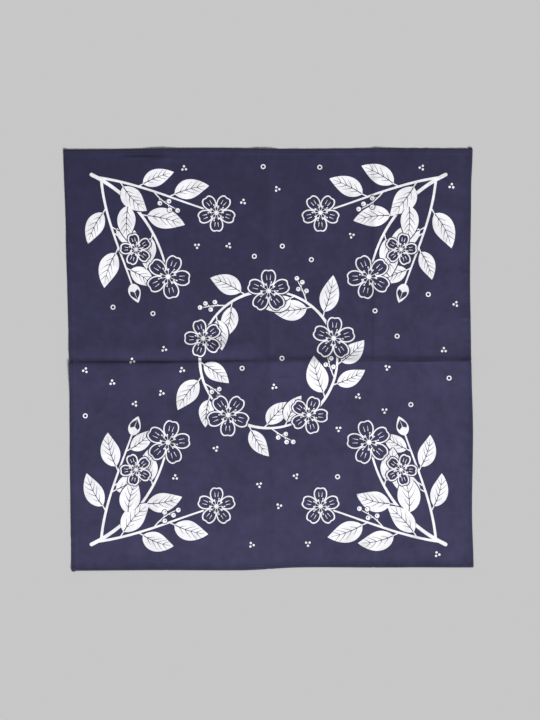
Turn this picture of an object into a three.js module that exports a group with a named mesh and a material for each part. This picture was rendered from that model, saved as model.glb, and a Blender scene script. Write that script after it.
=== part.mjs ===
// A square cotton bandana, opened out from its folds and laid flat with its printed face up.
//
// The cloth is one panel of thin plain-weave cotton. Each of its four edges is turned under twice and
// stitched down, which leaves a narrow hem three layers thick. The side hems run the whole height of the
// cloth, and the top and bottom hems are sewn between them. The panel and the hems meet along the stitch line.
//
// +X is the cloth's right, +Y its top and +Z is up. The origin is on the table under the middle of the cloth.
// Sizes are in millimetres.

import * as THREE from "three";

// The finished cloth, and the make of its edge
const WIDTH = 520;
const LENGTH = 540;
const WALL = 1.0;
const HEM_WIDTH = 4.7;
const HEM_HEIGHT = 1.8;
const SEAM_GAP = 0.3;

// How far each corner lies off the true rectangle. out is away from the middle along X, and up is along Y
const CORNERS = {
  topLeft: { out: 3.0, up: -1.0 },
  topRight: { out: 1.7, up: 0.2 },
  bottomLeft: { out: -7.3, up: -1.0 },
  bottomRight: { out: 3.0, up: 3.4 },
};

// How each edge wanders off the straight line between its corners. share runs from the edge's left or bottom
// corner to its other one, and out is away from the middle of the cloth
const WANDER = {
  top: [
    { share: 0.0, out: 0.0 },
    { share: 0.35, out: 1.5 },
    { share: 0.59, out: 0.0 },
    { share: 0.8, out: 0.9 },
    { share: 1.0, out: 0.0 },
  ],
  bottom: [
    { share: 0.0, out: 0.0 },
    { share: 0.19, out: 0.0 },
    { share: 0.43, out: 1.3 },
    { share: 0.58, out: -1.8 },
    { share: 0.83, out: -0.8 },
    { share: 1.0, out: 0.0 },
  ],
  left: [
    { share: 0.0, out: 0.0 },
    { share: 0.19, out: -0.6 },
    { share: 0.5, out: -2.3 },
    { share: 0.81, out: -1.3 },
    { share: 1.0, out: 0.0 },
  ],
  right: [
    { share: 0.0, out: 0.0 },
    { share: 0.14, out: -1.8 },
    { share: 0.33, out: -0.3 },
    { share: 0.52, out: -2.6 },
    { share: 0.69, out: -3.6 },
    { share: 0.9, out: -2.0 },
    { share: 1.0, out: 0.0 },
  ],
};

// Where the cloth was folded: once across its middle, and along its centre and both quarters
const MIDDLE_FOLD = -2.4;
const LEFT_FOLD = -130.8;
const CENTRE_FOLD = 0.6;
const RIGHT_FOLD = 134.7;

// The creases that those folds leave. Each runs along x or y, at a place on the other axis. A ridge stands up
// along its line, and a valley touches the table there and swells beside it. Its lower side is the one towards
// smaller x or y. reach is where the cloth is back on the table
const CREASES = [
  {
    shape: "valley",
    along: "x",
    at: MIDDLE_FOLD,
    span: { from: -300, to: 4 },
    lower: { height: 1.5, reach: 11 },
    upper: { height: 2.3, reach: 36 },
  },
  {
    shape: "ridge",
    along: "x",
    at: MIDDLE_FOLD,
    span: { from: -8, to: 300 },
    lower: { height: 2.6, reach: 38 },
    upper: { height: 2.6, reach: 18 },
  },
  {
    shape: "ridge",
    along: "y",
    at: CENTRE_FOLD,
    span: { from: -300, to: 300 },
    lower: { height: 1.1, reach: 16 },
    upper: { height: 1.1, reach: 20 },
  },
  {
    shape: "ridge",
    along: "y",
    at: RIGHT_FOLD,
    span: { from: -20, to: 300 },
    lower: { height: 1.7, reach: 13 },
    upper: { height: 1.7, reach: 20 },
  },
  {
    shape: "valley",
    along: "y",
    at: RIGHT_FOLD,
    span: { from: -300, to: -10 },
    lower: { height: 0.8, reach: 18 },
    upper: { height: 0.9, reach: 18 },
  },
  {
    shape: "valley",
    along: "y",
    at: LEFT_FOLD,
    span: { from: -10, to: 300 },
    lower: { height: 0.7, reach: 18 },
    upper: { height: 0.9, reach: 16 },
  },
  {
    shape: "ridge",
    along: "y",
    at: LEFT_FOLD,
    span: { from: -300, to: 0 },
    lower: { height: 1.0, reach: 15 },
    upper: { height: 1.0, reach: 18 },
  },
];
const CREASE_RADIUS = 1.2;
const CREASE_FADE = 26;

// Shorter wrinkles, each a soft ridge between two points and spread to both sides of them
const WRINKLES = [
  { from: [212, 249], to: [254, 214], height: 1.5, spread: 12 },
  { from: [198, 210], to: [256, 179], height: 1.2, spread: 15 },
  { from: [-196, 254], to: [-118, 256], height: 1.5, spread: 12 },
  { from: [10, 86], to: [58, 81], height: 0.8, spread: 13 },
  { from: [-248, 208], to: [-214, 240], height: 1.0, spread: 16 },
  { from: [-236, -252], to: [-176, -262], height: 0.9, spread: 12 },
  { from: [206, -236], to: [252, -258], height: 1.0, spread: 14 },
];

// The low swells left all over a cloth that has been folded. waveX and waveY are their lengths along X and Y
const SWELLS = [
  { height: 0.9, waveX: 173, waveY: 241, phase: 0.6 },
  { height: 0.7, waveX: -127, waveY: 149, phase: 2.3 },
  { height: 0.5, waveX: 88, waveY: 101, phase: 4.4 },
];
const SWELL_REST = 0.95;
const TOUCH_SOFTNESS = 0.6;

// How finely the wall is divided between one fold and the next
const COLUMNS_PER_FOLD = 10;
const ROWS_PER_FOLD = 18;

const DYED_COTTON = { color: "#3c3a56", roughness: 0.9, metalness: 0.0 };

const lerp = THREE.MathUtils.lerp;
const clamp = THREE.MathUtils.clamp;
const smoothstep = THREE.MathUtils.smoothstep;

// The out value of a wander table at a share of its edge, eased from row to row
function wanderAt(rows, share) {
  const next = rows.findIndex((row) => row.share >= share);
  const after = rows[Math.max(next, 1)];
  const before = rows[Math.max(next, 1) - 1];
  const step = smoothstep(share, before.share, after.share);
  return lerp(before.out, after.out, step);
}

const shareAcross = (x) => clamp(x / WIDTH + 0.5, 0, 1);
const shareUp = (y) => clamp(y / LENGTH + 0.5, 0, 1);

// The outer edge of the cloth, as a place on one axis for each place on the other
function topEdge(x) {
  const straight = lerp(CORNERS.topLeft.up, CORNERS.topRight.up, shareAcross(x));
  return LENGTH / 2 + straight + wanderAt(WANDER.top, shareAcross(x));
}

function bottomEdge(x) {
  const straight = lerp(CORNERS.bottomLeft.up, CORNERS.bottomRight.up, shareAcross(x));
  return -LENGTH / 2 + straight - wanderAt(WANDER.bottom, shareAcross(x));
}

function leftEdge(y) {
  const straight = lerp(CORNERS.bottomLeft.out, CORNERS.topLeft.out, shareUp(y));
  return -WIDTH / 2 - straight - wanderAt(WANDER.left, shareUp(y));
}

function rightEdge(y) {
  const straight = lerp(CORNERS.bottomRight.out, CORNERS.topRight.out, shareUp(y));
  return WIDTH / 2 + straight + wanderAt(WANDER.right, shareUp(y));
}

// How high a crease holds the cloth at a point
function creaseHeight(crease, x, y) {
  const run = crease.along === "x" ? x : y;
  const off = (crease.along === "x" ? y : x) - crease.at;
  const { height, reach } = off < 0 ? crease.lower : crease.upper;
  const share = Math.min((Math.hypot(off, CREASE_RADIUS) - CREASE_RADIUS) / reach, 1);
  const falling = (1 - share) ** 2;
  const profile = crease.shape === "ridge" ? falling : 6.75 * share * falling;
  const begun = smoothstep(run, crease.span.from, crease.span.from + CREASE_FADE);
  const ended = smoothstep(run, crease.span.to - CREASE_FADE, crease.span.to);
  return height * profile * begun * (1 - ended);
}

// How high a wrinkle holds the cloth at a point. It dies away towards both of its ends
function wrinkleHeight(wrinkle, x, y) {
  const [fromX, fromY] = wrinkle.from;
  const runX = wrinkle.to[0] - fromX;
  const runY = wrinkle.to[1] - fromY;
  const length = Math.hypot(runX, runY);
  const share = ((x - fromX) * runX + (y - fromY) * runY) / length ** 2;
  const off = ((x - fromX) * runY - (y - fromY) * runX) / length;
  const taper = Math.sin(Math.PI * clamp(share, 0, 1)) ** 2;
  const profile = Math.cos((Math.PI / 2) * clamp(off / wrinkle.spread, -1, 1)) ** 2;
  return wrinkle.height * taper * profile;
}

// How high the low swells hold the cloth at a point. Between them it rests on the table
function swellHeight(x, y) {
  let height = -SWELL_REST;
  for (const swell of SWELLS) {
    height += swell.height * Math.sin(2 * Math.PI * (x / swell.waveX + y / swell.waveY) + swell.phase);
  }
  return height > 0 ? height ** 2 / (height + TOUCH_SOFTNESS) : 0;
}

// How far the underside of the cloth stands off the table. It is exactly zero wherever the cloth rests
function lift(x, y) {
  let height = swellHeight(x, y);
  for (const crease of CREASES) height += creaseHeight(crease, x, y);
  for (const wrinkle of WRINKLES) height += wrinkleHeight(wrinkle, x, y);
  return height;
}

// Stations from the first fold line to the last, closest together beside each of them
function stations(intervals, perInterval) {
  const found = [0];
  for (let interval = 0; interval < intervals; interval += 1) {
    for (let step = 1; step <= perInterval; step += 1) {
      found.push(interval + (1 - Math.cos((Math.PI * step) / perInterval)) / 2);
    }
  }
  return found;
}

function between(knots, station) {
  const interval = Math.min(Math.floor(station), knots.length - 2);
  return lerp(knots[interval], knots[interval + 1], station - interval);
}

const acrossAt = (station, y, inset) =>
  between([leftEdge(y) + inset, LEFT_FOLD, CENTRE_FOLD, RIGHT_FOLD, rightEdge(y) - inset], station);

const upAt = (station, x, inset) =>
  between([bottomEdge(x) + inset, MIDDLE_FOLD, topEdge(x) - inset], station);

const COLUMNS = stations(4, COLUMNS_PER_FOLD);
const ROWS = stations(2, ROWS_PER_FOLD);
const PANEL_INSET = HEM_WIDTH + SEAM_GAP;

// Where x depends on y and y on x, a few rounds settle both
const ROUNDS = 4;

function settle(acrossOf, upOf) {
  let x = 0;
  let y = 0;
  for (let round = 0; round < ROUNDS; round += 1) {
    x = acrossOf(y);
    y = upOf(x);
  }
  return { x, y };
}

const standing = ({ x, y }, height) => new THREE.Vector3(x, y, lift(x, y) + height);

// A closed geometry from its corner points and its faces, each a list of indices anticlockwise from outside
function closedGeometry(points, faces) {
  const geometry = new THREE.BufferGeometry().setFromPoints(points);
  const triangles = faces.flatMap((face) =>
    face.slice(2).flatMap((corner, turn) => [face[0], face[turn + 1], corner]),
  );
  geometry.setIndex(triangles);
  geometry.computeVertexNormals();
  return geometry;
}

// A wall from two grids of points, its top and its underside, joined all round the rim
function wallGeometry(top, under) {
  const rows = top.length;
  const columns = top[0].length;
  const points = [...top.flat(), ...under.flat()];
  const upper = (row, column) => row * columns + column;
  const lower = (row, column) => rows * columns + upper(row, column);
  const faces = [];
  for (let row = 0; row + 1 < rows; row += 1) {
    for (let column = 0; column + 1 < columns; column += 1) {
      faces.push([
        upper(row, column),
        upper(row, column + 1),
        upper(row + 1, column + 1),
        upper(row + 1, column),
      ]);
      faces.push([
        lower(row, column),
        lower(row + 1, column),
        lower(row + 1, column + 1),
        lower(row, column + 1),
      ]);
    }
  }
  const rim = [];
  for (let column = 0; column + 1 < columns; column += 1) rim.push([0, column]);
  for (let row = 0; row + 1 < rows; row += 1) rim.push([row, columns - 1]);
  for (let column = columns - 1; column > 0; column -= 1) rim.push([rows - 1, column]);
  for (let row = rows - 1; row > 0; row -= 1) rim.push([row, 0]);
  rim.forEach(([row, column], place) => {
    const [nextRow, nextColumn] = rim[(place + 1) % rim.length];
    faces.push([
      lower(row, column),
      lower(nextRow, nextColumn),
      upper(nextRow, nextColumn),
      upper(row, column),
    ]);
  });
  return closedGeometry(points, faces);
}

// A band from a run of closed sections with the same number of points, capped at both ends. clockwise says how
// the first section runs when it is seen from its own end of the band
function bandGeometry(sections, clockwise) {
  const count = sections[0].length;
  const last = (sections.length - 1) * count;
  const faces = [];
  for (let section = 0; section + 1 < sections.length; section += 1) {
    for (let corner = 0; corner < count; corner += 1) {
      const here = section * count + corner;
      const beside = section * count + ((corner + 1) % count);
      faces.push([here, here + count, beside + count, beside]);
    }
  }
  const ring = [...Array(count).keys()];
  faces.push(ring);
  faces.push(ring.map((corner) => last + corner).reverse());
  const outward = clockwise ? faces.map((face) => [...face].reverse()) : faces;
  return closedGeometry(sections.flat(), outward);
}

// The hem's section: inward from the cloth's edge, and up from its underside. It is a pressed roll, flat below,
// rounded at the edge of the cloth and drawn down at the stitch line
const HEM_SECTION = [
  { inward: 0.5, up: 0.0 },
  { inward: 0.0, up: 0.4 },
  { inward: 0.0, up: 0.5 * HEM_HEIGHT },
  { inward: 0.9, up: 0.86 * HEM_HEIGHT },
  { inward: 0.5 * HEM_WIDTH, up: HEM_HEIGHT },
  { inward: HEM_WIDTH - 0.8, up: 0.86 * HEM_HEIGHT },
  { inward: HEM_WIDTH, up: 0.6 * HEM_HEIGHT },
  { inward: HEM_WIDTH, up: 0.0 },
];

// A side hem keeps to the panel's own rows, and only its two ends reach out to the top and the bottom edge
function sideHem(edge, inwardSign) {
  return ROWS.map((row, place) => {
    const inset = place === 0 || place === ROWS.length - 1 ? 0 : PANEL_INSET;
    return HEM_SECTION.map(({ inward, up }) => {
      const point = settle(
        (y) => edge(y) + inwardSign * inward,
        (x) => upAt(row, x, inset),
      );
      return standing(point, up);
    });
  });
}

function endHem(edge, inwardSign) {
  return COLUMNS.map((column) =>
    HEM_SECTION.map(({ inward, up }) => {
      const point = settle(
        (y) => acrossAt(column, y, PANEL_INSET),
        (x) => edge(x) + inwardSign * inward,
      );
      return standing(point, up);
    }),
  );
}

function panelGrid(height) {
  return ROWS.map((row) =>
    COLUMNS.map((column) => {
      const point = settle(
        (y) => acrossAt(column, y, PANEL_INSET),
        (x) => upAt(row, x, PANEL_INSET),
      );
      return standing(point, height);
    }),
  );
}

function clothMesh(name, geometry) {
  const mesh = new THREE.Mesh(geometry, new THREE.MeshStandardMaterial(DYED_COTTON));
  mesh.name = name;
  return mesh;
}

const bandana = new THREE.Group();
bandana.add(clothMesh("panel", wallGeometry(panelGrid(WALL), panelGrid(0))));
bandana.add(clothMesh("hem_left", bandGeometry(sideHem(leftEdge, 1), true)));
bandana.add(clothMesh("hem_right", bandGeometry(sideHem(rightEdge, -1), false)));
bandana.add(clothMesh("hem_top", bandGeometry(endHem(topEdge, -1), true)));
bandana.add(clothMesh("hem_bottom", bandGeometry(endHem(bottomEdge, 1), false)));

export default bandana;
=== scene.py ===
"""A square cotton bandana, laid flat with its printed face up, built round its CAD frame."""

import math
import random
from typing import NamedTuple

import bpy
import numpy as np
from bpy.props import FloatProperty, FloatVectorProperty, PointerProperty
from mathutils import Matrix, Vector
from mathutils.geometry import delaunay_2d_cdt


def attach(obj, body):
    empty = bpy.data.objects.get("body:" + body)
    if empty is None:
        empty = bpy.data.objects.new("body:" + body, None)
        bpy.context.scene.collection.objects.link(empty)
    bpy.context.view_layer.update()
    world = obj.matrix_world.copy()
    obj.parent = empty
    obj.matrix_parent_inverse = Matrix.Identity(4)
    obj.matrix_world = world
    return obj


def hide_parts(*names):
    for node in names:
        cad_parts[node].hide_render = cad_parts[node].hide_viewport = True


bl_info = {
    "name": "Laid bandana",
    "version": (1, 0, 0),
    "blender": (4, 5, 0),
    "location": "3D View > Sidebar > Bandana",
    "description": "Makes a hemmed and printed cotton bandana laid flat on a table",
    "category": "Object",
}

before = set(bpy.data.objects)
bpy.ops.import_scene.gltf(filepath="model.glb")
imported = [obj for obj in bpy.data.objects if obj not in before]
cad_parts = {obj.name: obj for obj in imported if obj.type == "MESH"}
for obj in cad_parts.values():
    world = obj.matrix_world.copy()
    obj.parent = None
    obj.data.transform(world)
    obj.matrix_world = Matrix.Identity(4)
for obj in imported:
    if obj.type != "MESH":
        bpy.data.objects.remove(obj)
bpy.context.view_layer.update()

MM = 0.001

# The outline of the cloth, as in the CAD model. A corner's step off the true rectangle is (out, up), and an
# edge strays outwards by millimetres at shares of its length
TOP_LEFT = (3.0 * MM, -1.0 * MM)
TOP_RIGHT = (1.7 * MM, 0.2 * MM)
BOTTOM_LEFT = (-7.3 * MM, -1.0 * MM)
BOTTOM_RIGHT = (3.0 * MM, 3.4 * MM)
TOP_WANDER = ((0, 0), (0.35, 1.5), (0.59, 0), (0.8, 0.9), (1, 0))
BOTTOM_WANDER = ((0, 0), (0.19, 0), (0.43, 1.3), (0.58, -1.8), (0.83, -0.8), (1, 0))
LEFT_WANDER = ((0, 0), (0.19, -0.6), (0.5, -2.3), (0.81, -1.3), (1, 0))
RIGHT_WANDER = ((0, 0), (0.14, -1.8), (0.33, -0.3), (0.52, -2.6), (0.69, -3.6), (0.9, -2.0), (1, 0))

# Where the cloth was folded before it was opened out
MIDDLE_FOLD = -2.4 * MM
LEFT_FOLD = -130.8 * MM
CENTRE_FOLD = 0.6 * MM
RIGHT_FOLD = 134.7 * MM
UPRIGHT_FOLDS = (LEFT_FOLD, CENTRE_FOLD, RIGHT_FOLD)


class Section(NamedTuple):
    """A fold's shape at one place along it, with (off, height) points across it, in millimetres."""

    run: float
    at: float
    points: tuple


# What the folds left, section by section. The middle fold runs along X, and off is upwards. Left of the
# centre it is a lip that drops steeply into a groove, and right of it a ridge with its steep side up
MIDDLE_GROOVE = (
    Section(-221, -2.4, (
        (-45, 0), (-24, 1.7), (-11, 2.7), (-5, 2.95), (-3.2, 2.85), (-2, 2.5), (-1, 1.95), (0, 1.3),
        (1, 0.85), (2, 0.6), (3.1, 0.42), (4.4, 0.35), (6, 0.42), (9, 0.75), (13, 1.0), (17, 0.9),
        (25, 0.4), (36, 0),
    )),
    Section(-158, -2.4, (
        (-46, 0), (-24, 1.6), (-11, 2.5), (-5, 2.75), (-3, 2.65), (-2, 2.35), (-1, 1.7), (0, 1.0),
        (0.8, 0.65), (1.8, 0.5), (3, 0.52), (4.5, 0.7), (7, 1.15), (10, 1.6), (14, 1.75), (18, 1.55),
        (26, 0.7), (36, 0),
    )),
    Section(-34, -2.2, (
        (-36, 0), (-24, 0.45), (-11, 1.2), (-4, 1.68), (-2, 1.74), (-1, 1.6), (0, 1.14), (0.9, 0.6),
        (2.2, 0.28), (4.5, 0.38), (8, 1.0), (12, 1.95), (16, 2.62), (20, 2.4), (27, 0.9), (36, 0),
    )),
    Section(-4, -2.2, (
        (-36, 0), (-11, 1.2), (-2, 1.7), (0, 1.6), (2, 1.3), (6, 0.9), (16, 0.6), (36, 0),
    )),
)
MIDDLE_RIDGE = (
    Section(8, -2.2, (
        (-38, 0), (-22, 1.0), (-12, 1.9), (-3, 2.6), (-1, 2.6), (1.5, 2.1), (4, 1.35), (8, 0.7),
        (18, 0.1), (24, 0),
    )),
    Section(35, -2.2, (
        (-38, 0), (-28, 0.6), (-20, 1.4), (-12, 2.2), (-3.5, 3.08), (-2.2, 3.14), (-1.3, 3.08),
        (-0.3, 2.86), (1.0, 2.58), (2.3, 2.12), (3.5, 1.54), (4.8, 0.98), (6.1, 0.56), (7.4, 0.3),
        (8.7, 0.15), (10.6, 0.06), (14, 0), (18, 0),
    )),
    Section(98, -2.3, (
        (-38, 0), (-30, 0.95), (-20, 1.85), (-14, 2.15), (-9, 2.58), (-4, 3.22), (-2, 3.38), (-0.2, 3.4),
        (1, 3.26), (3, 2.8), (4.9, 2.26), (6.8, 1.74), (9.4, 1.12), (12, 0.62), (14.5, 0.28), (17, 0.08),
        (20, 0),
    )),
    Section(169, -2.6, (
        (-48, 0), (-24, 1.2), (-10, 2.1), (-3.5, 2.4), (-1, 2.43), (0.3, 2.35), (1.2, 2.05), (2, 1.7),
        (2.7, 1.52), (3.5, 1.4), (4.3, 1.12), (5.2, 0.72), (6.1, 0.42), (7.2, 0.2), (10, 0.08), (20, 0),
    )),
    Section(229, -2.3, (
        (-38, 0), (-20, 1.5), (-10, 2.12), (-4, 2.54), (-1, 2.6), (0.4, 2.56), (1.25, 2.42), (2.0, 2.0),
        (2.7, 1.82), (3.6, 1.68), (4.5, 1.3), (5.3, 0.86), (6.2, 0.62), (7.4, 0.48), (10, 0.3),
        (14, 0.16), (24, 0),
    )),
)
LEFT_SECTIONS = (
    Section(-170, -130.5, (
        (-26, 0), (-14, 0.9), (-7, 0.75), (0, 0.35), (3, 0.3), (6, 0.45), (9, 0.5), (16, 0.25), (26, 0),
    )),
    Section(-55, -130.5, (
        (-26, 0), (-14, 1.0), (-7, 0.8), (0, 0.4), (3, 0.35), (6, 0.5), (10, 0.55), (17, 0.25), (27, 0),
    )),
    Section(30, -131, (
        (-40, 0), (-20, 0.9), (-8, 1.5), (-2, 1.86), (0, 1.88), (2, 1.78), (5, 1.38), (7.2, 0.94),
        (9.8, 0.48), (12.3, 0.15), (15, 0.02), (20, 0),
    )),
    Section(170, -131, (
        (-34, 0), (-17, 1.45), (-13, 1.65), (-4, 1.65), (0, 1.5), (3, 1.0), (7, 0.4), (12, 0.12), (22, 0),
    )),
)
CENTRE_SECTIONS = (
    Section(-185, 8.5, (
        (-18, 0), (-7, 0.6), (-1, 1.1), (0.6, 1.05), (3, 0.75), (8, 0.35), (18, 0),
    )),
    Section(-70, 5.4, (
        (-12, 0), (-5, 0.35), (-1, 0.7), (0.6, 0.68), (3, 0.42), (6, 0.15), (12, 0),
    )),
    Section(60, 3.4, (
        (-22, 0), (-12, 0.25), (-8, 0.5), (-5, 1.0), (-2.5, 1.5), (-1, 1.62), (1.2, 1.3), (3, 1.06),
        (5.5, 0.86), (9, 0.65), (16, 0.3), (26, 0),
    )),
    Section(190, 0.5, (
        (-22, 0), (-8, 0.6), (-1, 1.1), (0.8, 1.1), (5, 0.75), (10, 0.3), (18, 0),
    )),
)
RIGHT_SECTIONS = (
    Section(-190, 134.7, (
        (-46, 0), (-30, 0.6), (-14, 0.85), (-2, 1.0), (1, 1.02), (3, 0.84), (5, 0.52), (7, 0.22),
        (10, 0.05), (14, 0), (18, 0.12), (27, 0.75), (42, 0),
    )),
    Section(-80, 134.0, (
        (-32, 0), (-16, 0.95), (-8, 0.8), (-3, 0.6), (1, 0.3), (5, 0.12), (8, 0.22), (12, 0.05), (22, 0),
    )),
    Section(40, 134.4, (
        (-18, 0), (-6, 0.45), (-3, 0.6), (-1, 1.0), (0.6, 1.45), (2, 1.5), (6, 1.1), (12, 0.5), (22, 0),
    )),
    Section(170, 134.4, (
        (-12, 0), (-5, 0.15), (-3, 0.4), (-1, 1.0), (0.6, 1.5), (2, 1.75), (3.2, 1.8), (6, 1.6),
        (10, 1.25), (24, 0.1),
    )),
)

# The axis that each fold runs along, its sections, and the seed of its unevenness
FOLDS = (
    ("x", MIDDLE_GROOVE + MIDDLE_RIDGE, 9),
    ("y", LEFT_SECTIONS, 4),
    ("y", CENTRE_SECTIONS, 4),
    ("y", RIGHT_SECTIONS, 4),
)

# Shorter wrinkles, each a soft ridge between two points, in millimetres: from, to, height and spread. The
# last two are wide, and lift the bottom edge a little
WRINKLES = (
    ((212, 249), (254, 214), 1.5, 12),
    ((208, 242), (250, 212), 1.1, 5),
    ((198, 210), (256, 179), 1.2, 15),
    ((-196, 254), (-118, 256), 0.8, 12),
    ((-194, 258.6), (-142, 259.4), 1.05, 3.4),
    ((-164, 257), (-106, 258), 0.9, 6),
    ((10, 86), (58, 81), 0.8, 13),
    ((0, -25), (40, -24), 0.35, 4),
    ((150, -3.6), (244, -3.4), 0.45, 2.4),
    ((240, 53.4), (268, 53), 0.6, 3.2),
    ((246, 66.4), (270, 67), 0.4, 3),
    ((244, 110), (268, 111.5), 0.4, 3.5),
    ((246, 20.6), (268, 21.6), 0.4, 3.5),
    ((242, -3.4), (257, -2.8), 0.5, 3),
    ((-248, 208), (-214, 240), 1.0, 16),
    ((-236, -252), (-176, -262), 0.9, 12),
    ((206, -236), (252, -258), 1.0, 14),
    ((-310, -278), (-50, -277), 1.4, 24),
    ((50, -276), (310, -274), 1.7, 24),
)

# The low swells left all over a cloth that has been folded: height, lengths along X and Y, and phase. Below
# their rest the cloth lies on the table, which it meets softly
SWELLS = ((0.9, 173, 241, 0.6), (0.7, -127, 149, 2.3), (0.5, 88, 101, 4.4))
SWELL_REST = 0.95 * MM
TOUCH_SOFTNESS = 0.6 * MM

# How far a fold's line strays, over what distance, and by what share its height varies
FOLD_STRAY = 0.3 * MM
FOLD_STRAY_PITCH = 13 * MM
FOLD_VARIES = 0.12

# The crumple all over, in layers: seed, heading, pitch in millimetres, how drawn out it is, and share
CRUMPLE = ((3, 0.5, 30, 1.9, 0.5), (5, -0.9, 22, 2.3, 0.35), (8, 1.9, 13, 2, 0.15))

# The puckers along the hems: the pitch of the fine and the broad ones, of their lean and of their patches,
# where they are highest, and how far they reach from there
PUCKER_PITCH = 7.5 * MM
BROAD_PUCKER_PITCH = 17 * MM
PUCKER_LEAN_PITCH = 47 * MM
PUCKER_PATCH_PITCH = 60 * MM
PUCKER_PLACE = 4 * MM
PUCKER_REACH = 9 * MM

# Crumple and puckers are raised by this share of their height, so that most of them show
RIPPLE_REST = 0.6

# The hems hold an upright fold down to a share of its height, and let go of it between these distances
HELD_DOWN = 0.5
LET_GO = (2 * MM, 22 * MM)

# A hem's section, inward from the edge and up from the table, in millimetres: over the top from the edge to
# the wedge under the panel's skin, then back along the underside, with a groove for each row of stitches
HEM_SECTION = (
    (0.2, 0.14), (0.02, 0.28), (0.0, 0.42), (0.12, 0.6), (0.45, 0.78), (1.0, 0.9), (1.7, 0.96),
    (2.4, 0.97), (2.9, 0.94), (3.25, 0.84), (3.5, 0.7), (3.95, 0.7), (4.2, 0.83), (4.5, 0.89),
    (4.9, 0.86), (5.35, 0.66), (4.85, 0.45), (4.7, 0.3), (4.6, 0.08), (4.35, 0.0), (4.0, 0.0),
    (3.85, 0.24), (3.6, 0.24), (3.45, 0.0), (2.2, 0.0), (1.0, 0.0), (0.45, 0.03),
)
HEM_HEIGHT = 0.97 * MM
HEM_HEEL = 5.0 * MM

# Where the seam lies inward from the edge, and how far up its thread is on the top and on the underside
SEAM = 3.72 * MM
SEAM_TOP = 0.74 * MM
SEAM_UNDER = 0.2 * MM

# The panel's rim lies this far in from the cloth's edge, a little sunk in the hem. The panel stands a step
# higher where it goes into the hem, and comes down from there
PANEL_RIM = 4.5 * MM
PANEL_SINK = 0.14 * MM
SINK_BREADTH = 0.3 * MM
HEM_STEP = 0.64 * MM
HEM_STEP_PLACE = 4.7 * MM
HEM_STEP_REACH = 2.5 * MM

# How far each hem's lower or left end, and its other end, reach past the cloth's edge. The side hems run
# over the whole length, and the other two are sewn between them
HEMS = {
    "left": (0.9 * MM, 0.2 * MM),
    "right": (0.0, 1.0 * MM),
    "top": (-3.0 * MM, -3.0 * MM),
    "bottom": (-3.0 * MM, -3.0 * MM),
}
UPRIGHT_HEMS = ("left", "right")

# How much thicker the side hems are at the corners, where they are folded over, and for how long
CORNER_STEP = 0.6 * MM
CORNER_LENGTH = 7 * MM

# The ends of a hem are rounded over this length. They draw in towards its heel and down, to about these
# shares of its breadth and height, and stay a little blunt
END_ROUND = 1.6 * MM
END_BREADTH = 0.72
END_HEIGHT = 0.25
BLUNT_END = 0.97

# How far each fold draws in the edge where it crosses a hem
PINCHES = {"left": 1.0 * MM, "right": 0.4 * MM, "top": 0.3 * MM, "bottom": 0.3 * MM}
PINCH_REACH = 1.5 * MM

# How wide a stitch is, and how much of each end of a hem has none
STITCH_WIDTH = 0.42 * MM
UNSTITCHED_END = 1.5 * MM

# The print stays this far inside the finished width and length
PRINT_MARGIN = 2 * MM


def length_property(name, description, default):
    return FloatProperty(name=name, description=description, default=default, unit="LENGTH")


def tone_property(name, description, default):
    return FloatProperty(name=name, description=description, default=default, subtype="FACTOR")


def colour_property(name, description, default):
    return FloatVectorProperty(
        name=name, description=description, default=default, subtype="COLOR", size=3, min=0, max=1
    )


class BandanaSizes(bpy.types.PropertyGroup):
    """Sizes of the cloth, its creases and its sewing"""

    width: length_property("Width", "Width of the finished cloth", 0.52)
    length: length_property("Length", "Length of the finished cloth", 0.54)
    thickness: length_property("Cloth thickness", "Thickness of one layer of the cotton", 0.0003)
    crumple: length_property("Crumple", "Height of the soft unevenness all over", 0.00034)
    pucker: length_property("Pucker", "Height of the puckers along the hems", 0.0005)
    thread_pitch: length_property("Weave", "Distance between threads of the weave", 0.00044)
    stitch_length: length_property("Stitch", "Length of one stitch", 0.0022)
    stitch_gap: length_property("Stitch gap", "Cloth between two stitches", 0.0006)


class BandanaColours(bpy.types.PropertyGroup):
    """Colours of the cloth, its print, its thread and the table"""

    # Each pair of dye and ink colours runs from the top left to a paler bottom right, which is painted
    # light
    dye: colour_property("Dye", "Indigo of the ground, top left", (0.0189, 0.0171, 0.0527))
    painted_lit_dye: colour_property("Lit dye", "Indigo of the ground, bottom right", (0.0403, 0.0374, 0.0905))
    ink: colour_property("Print", "White of the print, top left", (0.752, 0.748, 0.785))
    painted_lit_ink: colour_property("Lit print", "White of the print, bottom right", (0.845, 0.838, 0.872))
    reverse: colour_property("Reverse", "Ground on the reverse", (0.06, 0.058, 0.108))
    reverse_ink: colour_property("Reverse print", "Print that shows through", (0.17, 0.17, 0.235))
    thread: colour_property("Thread", "Sewing thread of the hems", (0.03, 0.029, 0.062))
    floor: colour_property("Floor", "Pale table top", (0.5, 0.5, 0.5))
    # The hems are made darker by these shares, the bottom one most: painted shade along the cloth's edges
    hem_painted_shade_tone: tone_property("Hem tone", "Brightness of the hems beside the ground", 0.88)
    bottom_hem_painted_shade_tone: tone_property("Bottom hem tone", "The same of the bottom hem, dyed deepest", 0.79)


def eased(value, low, high):
    share = np.clip((value - low) / (high - low), 0, 1)
    return share * share * (3 - 2 * share)


def mixed(start, end, share):
    return start + (end - start) * share


def strayed(rows, share):
    """How far an edge strays outwards at a share of its length, eased from row to row."""
    out = np.zeros_like(share)
    for (start, before), (end, after) in zip(rows, rows[1:]):
        out = np.where(share >= start, mixed(before, after, eased(share, start, end)), out)
    return out * MM


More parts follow.
